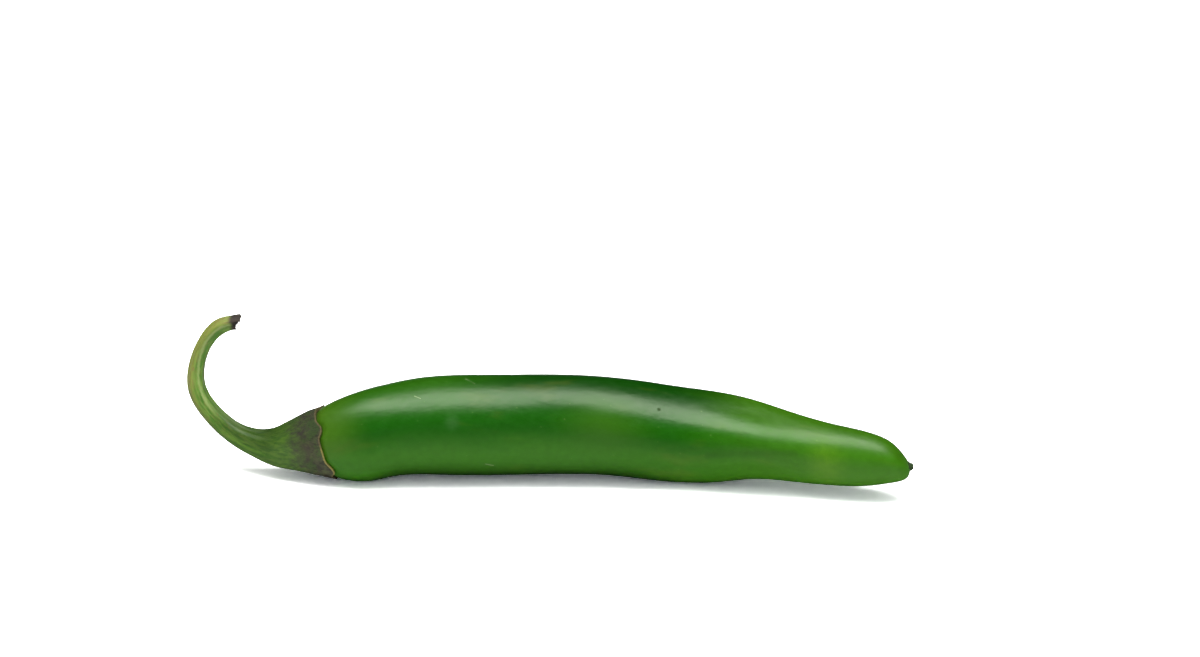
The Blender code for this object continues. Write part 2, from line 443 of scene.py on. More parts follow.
def wrapped_grid(tree):
    """A grid of rings and sides, and each point's share along it and angle round it."""
    grid = tree.add("GeometryNodeMeshGrid", {}, {
        "Size X": 1.0, "Size Y": 1.0,
        "Vertices X": tree.given("Rings"), "Vertices Y": tree.given("Sides")})
    along, across, _ = tree.parts(tree.add("GeometryNodeInputPosition"))
    return grid, along + 0.5, (across + 0.5) * (2.0 * math.pi)


def on_surface(tree, place):
    """Presses what would reach below the surface flat, as the spots that the pepper rests on."""
    x, y, z = tree.parts(place)
    return tree.combine(x, y, z.at_least(0.0))


def close_seams(tree, grid, place, name, straight, material):
    """Keeps the straightened places under a name, moves the points, and closes the seams."""
    grid = tree.store(grid, name, "FLOAT_VECTOR", straight)
    skin = tree.add("GeometryNodeSetPosition", {}, {"Geometry": grid, "Position": place})
    skin = tree.add("GeometryNodeMergeByDistance", {}, {"Geometry": skin, "Distance": WELD})
    return tree.add("GeometryNodeSetMaterial", {}, {"Geometry": skin, "Material": material})


def pod_tree(skin, scar):
    tree = GrowthTree("pod_skin", {"Rings": 261, "Sides": 161, **POD_SIZES,
                                   "Style Radius": STYLE_RADIUS, "Style Length": STYLE_LENGTH})
    line = tree.given("Geometry")
    grid, share, angle = wrapped_grid(tree)
    along = crowd_ends(share) * (POD_TIP - POD_BASE) + POD_BASE
    place, straight = pod_skin(tree, line, along, angle, 0.0)
    body = close_seams(tree, grid, on_surface(tree, place), "skin", straight, skin)
    tree.finish(body, style_nub(tree, scar))
    return tree


def style_nub(tree, scar):
    """The dry, uneven remnant of the flower's style, standing on the tip."""
    stub = tree.add("GeometryNodeMeshCone", {"fill_type": "TRIANGLE_FAN"}, {
        "Vertices": 24, "Side Segments": 8, "Fill Segments": 3,
        "Radius Top": tree.given("Style Radius") * 0.8,
        "Radius Bottom": tree.given("Style Radius") * 1.9,
        "Depth": tree.given("Style Length") + STYLE_SUNK})
    sideways, height, *_ = pod_line(POD_TIP)
    stub = tree.add("GeometryNodeTransform", {}, {
        "Geometry": stub,
        "Translation": (POD_TIP - STYLE_SUNK, sideways, height + STYLE_RISE),
        "Rotation": (0.0, math.pi / 2.0, 0.0)})
    spot = tree.add("GeometryNodeInputPosition")
    rough = tree.add("ShaderNodeTexNoise", {}, {"Vector": spot, "Scale": 2.4, "Detail": 3.0}, "Color")
    push = tree.vector("MULTIPLY", tree.vector("SUBTRACT", rough, (0.5, 0.5, 0.5)), (0.0, 0.5, 0.5))
    stub = tree.add("GeometryNodeSetPosition", {}, {"Geometry": stub, "Offset": push})
    stub = tree.store(stub, "skin", "FLOAT_VECTOR", tree.add("GeometryNodeInputPosition"))
    return tree.add("GeometryNodeSetMaterial", {}, {"Geometry": stub, "Material": scar})


# Calyx and stem

CUP_RINGS = 14
OUT_RINGS = 230
CUT_RINGS = 10
LAST_RING = CUP_RINGS + OUT_RINGS + CUT_RINGS + 1
EDGE_GAP = 0.10           # the papery edge lies close to the skin
EDGE_WALL = 0.45
FIBRES = 26
FIBRE_ROOT = 0.075        # radius of a fibre where it stands, then at its end
FIBRE_POINT = 0.02
FIBRE_SPREAD = 1.28
FIBRE_SUNK = 0.35


def stem_skin(tree, line, distance, angle):
    """Point of the outside of the calyx and stem, and its straightened place."""
    centre, radius, rise = on_line(tree, line, distance, 0.0, stem_length, ("radius", "rise"))
    ribs = distance.fade(0.0, RIB_GROWS_TO) * (tree.given("Rib Height") - RIB_ON_CALYX) + RIB_ON_CALYX
    radius = radius * (ribs * (angle * RIBS + distance * RIB_TURN).cos() + 1.0)
    radius = radius + distance.fade(stem_length - CUT_SWELL_LENGTH, stem_length) * CUT_SWELL
    out = radius * angle.cos()
    up = radius * angle.sin()
    arm = tree.combine(up * rise.sin(), out, up * rise.cos())
    return tree.vector("ADD", centre, arm), tree.combine(distance, out, up)


def calyx_tree(skin, fibre):
    sizes = {"Pod Line": "", "Rings": LAST_RING + 1, "Sides": 121, **POD_SIZES,
             "Rib Height": RIB_ON_STEM, "Fibre Ridges": 0.22, "Crumple": 0.35,
             "Cut Fibres": FIBRES, "Fibre Length": 0.42, "Seed": 7}
    tree = GrowthTree("calyx_and_stem", sizes)
    stem = tree.given("Geometry")
    pod = tree.add("GeometryNodeObjectInfo", {}, {"Object": tree.given("Pod Line")}, "Geometry")
    grid, share, angle = wrapped_grid(tree)
    ring = (share * LAST_RING).rounded()

    rim, at_start = rim_along(tree, angle), angle * 0.0
    reach = 1.0 - ((ring / CUP_RINGS).at_most(1.0) * (math.pi / 2.0)).cos()
    bottom = POD_BASE - EDGE_GAP
    inside, _ = pod_skin(tree, pod, (rim - bottom) * reach + bottom, angle, at_start + EDGE_GAP)

    outward = ((ring - (CUP_RINGS + 1)) / OUT_RINGS).at_least(0.0).at_most(1.0)
    distance = crowd_ends(outward) * stem_length
    outside, straight = stem_skin(tree, stem, distance, angle)
    edge, _ = pod_skin(tree, pod, rim, angle, at_start + (EDGE_GAP + EDGE_WALL))
    start, _ = stem_skin(tree, stem, at_start, angle)
    pull = tree.vector("SUBTRACT", edge, start)
    hold = (distance / RIM_HOLD) ** 2.0 * -1.0
    hold = hold.math("EXPONENT", hold)
    outside = tree.moved(outside, pull, hold)

    fibres = noise_round(tree, distance, angle, 0.10, 3.4, 1.6, 3.0, 0.6) * tree.given("Fibre Ridges")
    low = (angle.sin() * -1.0).fade(0.2, 1.0) * distance.fade(8.5, 2.0) * distance.fade(0.0, 1.0)
    lumps = noise_round(tree, distance, angle, 0.75, 2.0, detail=2.0)
    rough = fibres * distance.fade(0.0, 1.5) + lumps * low * tree.given("Crumple")
    outside = push_out(tree, outside, straight, rough)

    cap = ((ring - (CUP_RINGS + 1 + OUT_RINGS)) / CUT_RINGS).at_least(0.0)
    uneven = (angle * CUT_TEETH + 1.0).cos() * CUT_RAG - angle.sin() * CUT_SLANT
    ragged = tree.noise(tree.combine(angle.cos() * 3.0, angle.sin() * 3.0, 0.0), 2.0, 3.0, 0.7) - 0.5
    uneven = (uneven + ragged * 0.5) * distance.fade(stem_length - 0.9, stem_length)
    uneven = uneven - (cap * 3.2).at_most(1.0) * CUT_HOLLOW
    end_way = tuple(stem_way(stem_length).tolist())
    end = tuple(stem_line(stem_length)[:3].tolist())
    outside = tree.moved(outside, tree.vector("SUBTRACT", end, outside), cap)
    outside = tree.moved(outside, end_way, uneven)

    place = tree.mix("VECTOR", ring > (CUP_RINGS + 0.5), inside, outside)
    grain = tree.vector("ADD", straight, tree.combine(cap * 1.2, 0.0, 0.0))
    body = close_seams(tree, grid, on_surface(tree, place), "grain", grain, skin)
    tree.finish(body, cut_fibres(tree, end, end_way, fibre))
    return tree


def push_out(tree, place, straight, amount):
    """Moves a point of the stem outward by an amount."""
    _, out, up = tree.parts(straight)
    way = tree.vector("NORMALIZE", tree.combine(0.0, out, up))
    return tree.moved(place, way, amount)


def cut_fibres(tree, end, end_way, fibre):
    """Short torn fibres that stand on the cut end."""
    seed = tree.given("Seed")
    ident = tree.add("GeometryNodeInputIndex")

    def random(low, high, draw):
        return tree.add("FunctionNodeRandomValue", {"data_type": "FLOAT"},
                        {"Min": low, "Max": high, "ID": ident, "Seed": seed + draw})

    turn = random(0.0, 2.0 * math.pi, 1)
    reach = random(0.15, 1.0, 2) ** 0.6 * FIBRE_SPREAD
    way = Vector(end_way)
    tilt = math.atan2(end_way[0], end_way[2])
    level = tree.combine(reach * turn.sin() * math.cos(tilt) * -1.0, reach * turn.cos(),
                         reach * turn.sin() * math.sin(tilt))
    spots = tree.add("GeometryNodePoints", {}, {
        "Count": tree.given("Cut Fibres"),
        "Position": tree.vector("ADD", level, tuple(Vector(end) - way * FIBRE_SUNK))})
    thread = tree.add("GeometryNodeMeshCone", {}, {
        "Vertices": 6, "Side Segments": 3, "Radius Top": FIBRE_POINT, "Radius Bottom": FIBRE_ROOT,
        "Depth": tree.given("Fibre Length") + 0.2})
    lean = tree.combine(random(-0.35, 0.35, 3), random(-0.3, 0.3, 4) + tilt, 0.0)
    planted = tree.add("GeometryNodeInstanceOnPoints", {}, {
        "Points": spots, "Instance": thread, "Rotation": lean,
        "Scale": tree.combine(1.0, 1.0, random(0.5, 1.15, 5))})
    planted = tree.add("GeometryNodeRealizeInstances", {}, {"Geometry": planted})
    return tree.add("GeometryNodeSetMaterial", {}, {"Geometry": planted, "Material": fibre})


# Growing a piece on its middle line

SHARP_ANGLE = math.radians(50.0)


def new_object(name, data):
    item = bpy.data.objects.new(name, data)
    bpy.context.scene.collection.objects.link(item)
    return item


def line_object(name, points, numbers):
    """A bare line of points, each with its named numbers."""
    mesh = bpy.data.meshes.new(name)
    mesh.from_pydata([tuple(point) for point in points], [(i, i + 1) for i in range(len(points) - 1)], [])
    for label, values in numbers.items():
        layer = mesh.attributes.new(label, "FLOAT", "POINT")
        layer.data.foreach_set("value", np.array(values, dtype=np.float32))
    return new_object(name, mesh)


def pod_middle_line():
    count = round((POD_TIP - POD_BASE) / LINE_STEP)
    places = [POD_BASE + LINE_STEP * i for i in range(count + 1)]
    rows = [pod_line(along) for along in places]
    points = [(along, row[0], row[1]) for along, row in zip(places, rows)]
    return line_object("pod_middle", points, {"girth": [row[2] for row in rows],
                                              "flat": [row[3] for row in rows]})


def stem_middle_line():
    places = np.arange(0.0, stem_length + LINE_STEP, LINE_STEP)
    rows = [stem_line(distance) for distance in places]
    rises = []
    for distance in places:
        forward = stem_way(distance)
        rise = math.atan2(forward[2], -forward[0])
        rises.append(rise - (rise + NECK_LEAN) * (1.0 - step_between(distance, 0.0, CALYX_LENGTH)))
    return line_object("stem_middle", [row[:3] for row in rows],
                       {"radius": [row[3] for row in rows], "rise": rises})


def drawing_origin():
    """Where the drawing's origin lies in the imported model."""
    low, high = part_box("pod")
    sideways = (low.y + high.y) / 2.0 - SIDE_MIDDLE * MM
    return Vector((high.x - (POD_TIP + STYLE_LENGTH) * MM, sideways, 0.0))


def grow(name, line, tree, values):
    """Runs a growth tree on a line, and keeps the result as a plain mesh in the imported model's place."""
    modifier = line.modifiers.new(name, "NODES")
    modifier.node_group = tree.nodes
    for item in tree.nodes.interface.items_tree:
        if item.in_out == "INPUT" and item.name in values:
            modifier[item.identifier] = values[item.name]
    depsgraph = bpy.context.evaluated_depsgraph_get()
    mesh = bpy.data.meshes.new_from_object(line.evaluated_get(depsgraph), depsgraph=depsgraph)
    if not len(mesh.polygons):
        raise RuntimeError(f"{name}: its growth tree made no faces")
    line.modifiers.remove(modifier)
    mesh.name = name
    origin = drawing_origin()
    shell = bmesh.new()
    shell.from_mesh(mesh)
    for vertex in shell.verts:
        vertex.co = vertex.co * MM + origin
    bmesh.ops.recalc_face_normals(shell, faces=shell.faces)
    shell.to_mesh(mesh)
    shell.free()
    mesh.shade_smooth()
    mesh.set_sharp_from_angle(angle=SHARP_ANGLE)
    return new_object(name, mesh)


def put_away(*lines):
    for line in lines:
        mesh = line.data
        bpy.data.objects.remove(line, do_unlink=True)
        bpy.data.meshes.remove(mesh)


# Colours of the skin: red, green, blue. The top colours carry painted shade, deepest over the middle of the
# pod, and the belly colours carry painted light from the floor.
TOP_AT_SHOULDER = (0.013, 0.074, 0.001)
TOP_AT_TIP = (0.025, 0.096, 0.001)
TOP_AT_NECK = (0.030, 0.092, 0.002)
SIDE_AT_TIP = (0.026, 0.116, 0.001)
SIDE_AT_NECK = (0.032, 0.100, 0.002)
BELLY_AT_TIP = (0.032, 0.132, 0.001)
PATCH_AND_HIGHLIGHT_GREEN = (0.026, 0.096, 0.003)
RIPENING_GREEN = (0.090, 0.195, 0.003)
FLUSH_OLIVE = (0.105, 0.120, 0.012)
SCRATCH_PALE = (0.30, 0.38, 0.20)
SCAR_DARK = (0.020, 0.030, 0.006)
BRUISE_PALE = (0.095, 0.190, 0.075)
SPECK_PALE = (0.20, 0.30, 0.09)
END_SCAR_AND_SHADE_DARK = (0.022, 0.034, 0.018)
STYLE_GREEN = (0.020, 0.042, 0.010)
STYLE_DARK = (0.014, 0.018, 0.011)
STYLE_GREY = (0.046, 0.050, 0.030)

# Colours of the calyx and the stem
CALYX_PALE_GREEN = (0.076, 0.155, 0.018)
STEM_DEEP_GREEN = (0.062, 0.160, 0.018)
STEM_PALE_GREEN = (0.130, 0.228, 0.040)
STEM_OLIVE = (0.225, 0.230, 0.050)
HAIR_BROWN = (0.170, 0.120, 0.040)
RIDGE_PALE = (0.300, 0.360, 0.130)
PAINTED_REFLECTION_PALE = (0.250, 0.340, 0.170)
DRY_BROWN = (0.046, 0.039, 0.029)
DRY_OLIVE = (0.080, 0.090, 0.038)
DRY_GREEN = (0.046, 0.090, 0.018)
WRINKLE_DARK = (0.024, 0.022, 0.015)
BURNT_BROWN = (0.050, 0.038, 0.026)
RIM_BROWN = (0.060, 0.044, 0.030)
RIM_PAPER = (0.200, 0.170, 0.044)
CUT_BLACK = (0.010, 0.008, 0.008)
CUT_BROWN = (0.036, 0.028, 0.021)
FIBRE_BROWN = (0.060, 0.042, 0.026)
FIBRE_PALE = (0.330, 0.270, 0.165)

# Marks on the pod's front, each at a distance along it and an angle above the level in degrees
SCRATCHES = (             # start, end, width
    ((-15.3, 85.0), (-13.7, 74.0), 0.12),
    ((-23.3, 59.0), (-22.3, 54.5), 0.11),
    ((-4.7, 6.0), (-4.1, 4.0), 0.10),
    ((-11.8, -29.0), (-10.5, -32.0), 0.10),
    ((19.9, 72.0), (20.9, 70.0), 0.12),
)
LONG_SCAR = ((-28.4, 51.0), (-27.7, 60.0), 0.16)
SCAR_SPOTS = (            # middle, reach
    ((16.2, 49.0), 0.45),
    ((29.5, 48.0), 0.35),
    ((29.0, 99.0), 0.60),
)
GROOVE = ((24.0, -2.0), (38.0, 11.0), 0.9)
# The pale patch is partly lighter skin and partly a painted spread of the highlight.
PALE_AND_HIGHLIGHT_PATCH = (7.5, 22.0)
RIPE_PATCH = (43.2, 2.0)
BRUISE = (-17.0, 24.0)
DULL_PATCH = (34.0, 38.0)

# Burnt patches of the calyx: the distance from its rim, then sideways and up
BURNT_BELOW = (2.0, -3.4, -5.6)
BURNT_FRONT = (3.2, -5.6, 1.0)


# Materials

def new_material(name):
    """A new material with an emptied node tree; finish_material adds its shader, whose constants are set on
    its own sockets.
    """
    material = bpy.data.materials.new(name)
    material.use_nodes = True
    material.node_tree.nodes.clear()
    return material, Tree(material.node_tree)


def finish_material(tree, constants, **varying):
    sockets = {**constants, **{name.replace("_", " "): value for name, value in varying.items()}}
    shader = tree.add("ShaderNodeBsdfPrincipled", {}, sockets)
    tree.add("ShaderNodeOutputMaterial", {}, {"Surface": shader})


def straight_place(tree, name):
    """The straightened place that was stored while the piece grew."""
    return tree.add("ShaderNodeAttribute", {"attribute_type": "GEOMETRY", "attribute_name": name},
                    {}, "Vector")


def drawn_out(tree, place, share):
    """The place with its distance along shortened, so that noise on it is drawn out."""
    return tree.vector("MULTIPLY", place, (share, 1.0, 1.0))


def raised(tree, height, strength, depth):
    """Bump of a height, which is drawn at a depth in millimetres."""
    return tree.add("ShaderNodeBump", {}, {"Strength": strength, "Distance": depth * MM, "Height": height})


def greatest(shares):
    most = shares[0]
    for share in shares[1:]:
        most = most.math("MAXIMUM", most, share)
    return most


def near_spot(tree, place, spot, reach, stretch=(1.0, 1.0, 1.0)):
    """1 at a spot, fading to 0 at its reach."""
    away = tree.vector("MULTIPLY", tree.vector("SUBTRACT", place, spot), stretch)
    return 1.0 - tree.vector("LENGTH", away).fade(0.0, reach)


def near_streak(tree, place, start, end, width):
    """1 on the straight stretch from start to end, fading to 0 at half its width."""
    way = Vector(end) - Vector(start)
    length = way.length
    way = tuple(way / length)
    from_start = tree.vector("SUBTRACT", place, start)
    share = tree.vector("DOT_PRODUCT", from_start, way).at_least(0.0).at_most(length)
    off = tree.vector("SUBTRACT", from_start, tree.vector("SCALE", way, share))
    return 1.0 - tree.vector("LENGTH", off).fade(width * 0.25, width)


def on_pod(along, lift):
    """Straightened place on the pod's front, at an angle above the level, in degrees."""
    girth = pod_line(along)[2] * POD_RADIUS
    return (along, -girth * math.cos(math.radians(lift)), girth * math.sin(math.radians(lift)))


def pod_streak(tree, place, streak):
    start, end, width = streak
    return near_streak(tree, place, on_pod(*start), on_pod(*end), width)


def pod_greens(tree, sizes, along, lift, broad, fine):
    """Green of the skin: painted shade deepens the top over the middle, painted light from the floor
    lightens the belly, and the neck and the tip are lighter.
    """
    drift = broad - 0.5
    to_tip = (along + drift * 10.0).fade(16.0, 44.0)
    to_neck = (along + drift * 6.0).fade(-29.0, -37.0)
    top = tree.tint((along + drift * 12.0).fade(-4.0, -20.0), sizes.shaded_top_green, TOP_AT_SHOULDER)
    top = tree.tint((along + drift * 8.0).fade(18.0, 34.0), top, TOP_AT_TIP)
    top = tree.tint(to_neck, top, TOP_AT_NECK)
    side = tree.tint(to_tip, sizes.side_green, SIDE_AT_TIP)
    side = tree.tint(to_neck, side, SIDE_AT_NECK)
    belly = tree.tint(to_tip, sizes.lit_belly_green, BELLY_AT_TIP)
    height = lift + drift * 0.5
    colour = tree.tint(height.fade(-0.30, 0.32), belly, side)
    colour = tree.tint(height.fade(0.50, 0.95), colour, top)
    colour = tree.vector("SCALE", colour, 0.67 + (broad * 0.42 + fine * 0.58) * 0.66)
    # Painted shade: the lower side darkens where the pod's middle lies close to the floor.
    painted_shade_under = (lift * -1.0).fade(0.30, 0.88) * along.fade(-34.0, -24.0) * along.fade(22.0, 12.0)
    return tree.vector("SCALE", colour, 1.0 - painted_shade_under * 0.55)


def pod_skin_material(sizes):
    material, tree = new_material("pod_skin")
    place = straight_place(tree, "skin")
    along, side, up = tree.parts(place)
    lift = up / (side * side + up * up).root().at_least(0.001)
    long_grain = drawn_out(tree, place, 0.35)
    broad = tree.noise(long_grain, 0.16, 3.0, 0.55)
    fine = tree.noise(place, 0.9, 4.0, 0.6)
    colour = pod_greens(tree, sizes, along, lift, broad, fine)

    # Lighter skin below the highlight: partly the skin's own tone, partly a painted spread of the
    # highlight.
    pale_and_highlight_patch = near_spot(tree, place, on_pod(*PALE_AND_HIGHLIGHT_PATCH), 8.0, (0.75, 1.0, 1.2))
    colour = tree.tint(pale_and_highlight_patch * 0.7, colour, PATCH_AND_HIGHLIGHT_GREEN)
    # Painted shade darkens the skin in the crease along the groove.
    groove = pod_streak(tree, place, GROOVE) * (0.6 + fine * 0.6)
    colour = tree.vector("SCALE", colour, 1.0 - groove * 0.18)
    ripening = near_spot(tree, place, on_pod(*RIPE_PATCH), 6.0, (1.35, 1.0, 0.9))
    colour = tree.tint(ripening * (0.10 + fine * 0.5), colour, RIPENING_GREEN)
    flush = tree.noise(tree.vector("ADD", long_grain, (31.0, 5.0, 9.0)), 0.22, 3.0, 0.6)
    colour = tree.tint(flush.fade(0.56, 0.74) * 0.16, colour, FLUSH_OLIVE)
    scratch = greatest([pod_streak(tree, place, streak) for streak in SCRATCHES])
    colour = tree.tint(scratch * 0.55, colour, SCRATCH_PALE)
    spots = [near_spot(tree, place, on_pod(*middle), reach) for middle, reach in SCAR_SPOTS]
    scar = greatest([pod_streak(tree, place, LONG_SCAR), *spots])
    colour = tree.tint(scar * 0.7, colour, SCAR_DARK)
    bruise = near_spot(tree, place, on_pod(*BRUISE), 1.8)
    colour = tree.tint(bruise * (0.05 + fine * 0.22), colour, BRUISE_PALE)
    specks = tree.add("ShaderNodeTexVoronoi", {}, {"Vector": place, "Scale": 0.62}, "Distance")
    specks = (1.0 - specks.fade(0.05, 0.13)) * fine.fade(0.5, 0.62)
    colour = tree.tint(specks * 0.16, colour, SPECK_PALE)
    tip = (POD_TIP, 0.0, 0.0)
    # A dark scar round the style's root, and a painted shade line running up the tip's edge from it.
    tip_edge_shade = near_streak(tree, place, tip, (POD_TIP - 2.4, 0.9, 3.0), 0.9)
    end_scar_and_shade = greatest([near_spot(tree, place, tip, 1.7).fade(0.35, 0.9), tip_edge_shade * 0.8])
    colour = tree.tint(end_scar_and_shade * 0.8, colour, END_SCAR_AND_SHADE_DARK)

    waves = tree.noise(drawn_out(tree, place, 0.45), 0.28)
    ripple = tree.noise(drawn_out(tree, place, 0.5), 0.9)
    pores = tree.noise(place, 3.2)
    height = waves * 0.13 + ripple * 0.060 + pores * 0.006
    height = height - scratch * 0.02 - scar * 0.08 - groove * 0.05
    dull = near_spot(tree, place, on_pod(*DULL_PATCH), 9.0, (0.8, 1.0, 1.0))
    roughness = 0.33 + (fine - 0.5) * 0.22 + scratch * 0.2 + scar * 0.45 + dull * 0.07
    roughness = roughness + along.fade(-30.0, -37.0) * 0.08 + along.fade(16.0, 4.0) * 0.035
    roughness = roughness + along.fade(30.0, 46.0) * 0.07
    shine = {"IOR": 1.50, "Specular Tint": (0.86, 1.0, 0.74, 1.0)}
    finish_material(tree, shine, Base_Color=colour, Roughness=roughness,
                    Normal=raised(tree, height, 0.6, 1.0))
    return material


def scar_material():
    material, tree = new_material("style_scar")
    grain = tree.noise(tree.add("ShaderNodeTexCoord", {}, {}, "Object"), 1900.0, 4.0, 0.65)
    along, _, _ = tree.parts(straight_place(tree, "skin"))
    dry = (along + (grain - 0.5) * 0.8).fade(POD_TIP + 0.1, POD_TIP + 0.8)
    colour = tree.tint(grain.fade(0.35, 0.65), STYLE_DARK, STYLE_GREY)
    colour = tree.tint(dry, STYLE_GREEN, colour)
    finish_material(tree, {"IOR": 1.45}, Base_Color=colour, Roughness=0.75 + grain * 0.2,
                    Normal=raised(tree, grain, 0.8, 0.2))
    return material


def stem_greens(tree, sizes, distance, lift, streaks, hairs, mottle):
    """Green of the calyx and stem: streaked, olive outside the bend, pale on a ridge, with a painted
    reflection along the inside of the bend.
    """
    streaky = streaks.fade(0.36, 0.64)
    low = tree.tint(streaky, sizes.stem_green, CALYX_PALE_GREEN)
    high = tree.tint(streaky, STEM_DEEP_GREEN, STEM_PALE_GREEN)
    green = tree.mix("RGBA", (distance + (mottle - 0.5) * 6.0).fade(17.0, 29.0), low, high)
    fall = lift * -1.0
    olive = greatest([fall.fade(-0.3, 1.0) * distance.fade(19.0, 27.0),
                      fall.fade(1.5, 2.3) * distance.fade(7.0, 13.0) * 0.55])
    green = tree.tint(olive * (0.42 + streaks * 0.5), green, STEM_OLIVE)
    brown_hairs = hairs.fade(0.52, 0.62) * distance.fade(9.0, 22.0) * (0.35 + olive * 0.45)
    green = tree.tint(brown_hairs, green, HAIR_BROWN)
    off_ridge = lift + 0.10 + (mottle - 0.5) * 0.8 - distance.fade(36.0, 24.0)
    ridge = off_ridge.fade(-0.34, -0.05) * off_ridge.fade(0.34, 0.05)
    ridge = ridge * distance.fade(19.0, 24.0) * distance.fade(45.0, 38.0)
    green = tree.tint(ridge * 0.5, green, RIDGE_PALE)
    # Painted reflection: a pale band along the inner edge of the stem's bend.
    painted_reflection = lift.fade(1.2, 1.8) * distance.fade(14.0, 18.0) * distance.fade(27.0, 21.0)
    return tree.tint(painted_reflection * 0.3, green, PAINTED_REFLECTION_PALE)


def dry_browns(tree, place, streaks, hairs, mottle):
    """Browns of the dry calyx, with some green left in blotches, and dark wrinkles."""
    blotch = tree.noise(tree.vector("ADD", place, (12.0, 3.0, 7.0)), 0.42, 3.0, 0.6)
    brown = tree.tint(mottle.fade(0.36, 0.64), DRY_BROWN, DRY_OLIVE)
    brown = tree.tint(blotch.fade(0.44, 0.60) * 0.75, brown, DRY_GREEN)
    wrinkles = (hairs * 0.6 + streaks * 0.4).fade(0.50, 0.60)
    return tree.tint(wrinkles * 0.75, brown, WRINKLE_DARK)


def calyx_material(sizes):
    material, tree = new_material("calyx_and_stem")
    place = straight_place(tree, "grain")
    distance, _, lift = tree.parts(place)
    streaked = drawn_out(tree, place, 0.16)
    streaks = tree.noise(streaked, 2.1, 4.0, 0.62)
    hairs = tree.noise(streaked, 6.0, 3.0, 0.6)
    mottle = tree.noise(drawn_out(tree, place, 0.6), 0.9, 5.0, 0.68)

    green = stem_greens(tree, sizes, distance, lift, streaks, hairs, mottle)
    brown = dry_browns(tree, place, streaks, hairs, mottle)
    dried = (distance * 0.125 + (mottle - 0.5) * 1.1 + (streaks - 0.5) * 0.8).fade(1.05, 0.20)
    colour = tree.mix("RGBA", dried * 0.95, green, brown)
    burnt = greatest([near_spot(tree, place, BURNT_BELOW, 4.2, (0.8, 1.0, 1.0)),
                      near_spot(tree, place, BURNT_FRONT, 3.0, (0.7, 1.0, 1.0)) * 0.7])
    colour = tree.tint(burnt * (0.35 + mottle * 0.9), colour, BURNT_BROWN)
    shade = 0.86 - lift.fade(0.4, 4.0) * 0.38
    shade = shade - distance.fade(20.0, 8.0) * (lift * -1.0).fade(-0.6, 1.2) * 0.12
    shade = shade - lift.fade(-0.6, 0.9) * distance.fade(22.0, 17.0) * distance.fade(7.0, 11.0) * 0.26
    colour = tree.vector("SCALE", colour, shade)

    rim = (distance + (hairs - 0.5) * 0.4).fade(0.40, 0.10)
    colour = tree.tint(rim * 0.7, colour, RIM_BROWN)
    papery = (lift + (mottle - 0.5) * 3.0).fade(2.2, 0.6) * lift.fade(-4.4, -3.2)
    edge = (distance + (hairs - 0.5) * 0.3).fade(0.30, 0.10) * (0.22 + papery * 0.70)
    colour = tree.tint(edge, colour, RIM_PAPER)
    cut_edge = (distance + (streaks - 0.5) * 1.6).fade(stem_length - 1.7, stem_length - 0.7)
    charred = tree.tint(streaks.fade(0.40, 0.62), CUT_BLACK, CUT_BROWN)
    colour = tree.mix("RGBA", cut_edge, colour, charred)

    ridges = streaks * 0.11 + hairs * 0.055 + mottle * dried * 0.09
    roughness = 0.46 + dried * 0.26 + cut_edge * 0.25 + (hairs - 0.5) * 0.2
    finish_material(tree, {"IOR": 1.36}, Base_Color=colour, Roughness=roughness.at_most(0.95),
                    Normal=raised(tree, ridges, 0.8, 1.0))
    return material


def fibre_material():
    material, tree = new_material("cut_fibre")
    grain = tree.noise(tree.add("ShaderNodeTexCoord", {}, {}, "Object"), 1500.0, 3.0, 0.6)
    colour = tree.tint(grain.fade(0.4, 0.6), FIBRE_BROWN, FIBRE_PALE)
    finish_material(tree, {"IOR": 1.4}, Base_Color=colour, Roughness=0.7 + grain * 0.2)
    return material


# The add-on

COLOUR = {"subtype": "COLOR", "size": 3, "min": 0.0, "max": 1.0}


class PepperSettings(bpy.types.PropertyGroup):
    """Sizes and colours of the pepper."""

    pod_radius: bpy.props.FloatProperty(
        name="Pod radius", description="Radius of the pod at its thickest",
        default=POD_RADIUS * MM, unit="LENGTH", min=0.004, max=0.02)
    lobe_height: bpy.props.FloatProperty(
        name="Lobe height", description="Height of the three lobes, as a share of the radius",
        default=LOBE_HEIGHT, subtype="FACTOR", min=0.0, max=0.1)
    undulation: bpy.props.FloatProperty(
        name="Undulation", description="Height of the soft facets along the skin, as a share of the radius",
        default=UNDULATION, subtype="FACTOR", min=0.0, max=0.1)
    neck_lean: bpy.props.FloatProperty(
        name="Neck lean", description="How far the pod's neck leans down towards the stem",
        default=NECK_LEAN, subtype="ANGLE", min=0.0, max=0.6)
    # Painted shade: this deep top green stands in for shade falling on the pod's upper side.
    shaded_top_green: bpy.props.FloatVectorProperty(
        name="Top green", description="Deep green along the pod's upper side",
        default=(0.0020, 0.036, 0.0), **COLOUR)
    side_green: bpy.props.FloatVectorProperty(
        name="Side green", description="Green of the pod's sides",
        default=(0.0045, 0.066, 0.0), **COLOUR)
    # Painted light: this lighter belly green stands in for light thrown up from the floor.
    lit_belly_green: bpy.props.FloatVectorProperty(
        name="Belly green", description="Lighter green of the pod's lower side",
        default=(0.024, 0.122, 0.001), **COLOUR)
    rib_height: bpy.props.FloatProperty(
        name="Rib height", description="Height of the stem's ribs, as a share of its radius",
        default=RIB_ON_STEM, subtype="FACTOR", min=0.0, max=0.3)
    cut_fibres: bpy.props.IntProperty(
        name="Cut fibres", description="Number of torn fibres on the stem's cut end",
        default=FIBRES, min=0, max=200)
    stem_green: bpy.props.FloatVectorProperty(
        name="Stem green", description="Green of the stem and of the upper calyx",
        default=(0.040, 0.110, 0.010), **COLOUR)


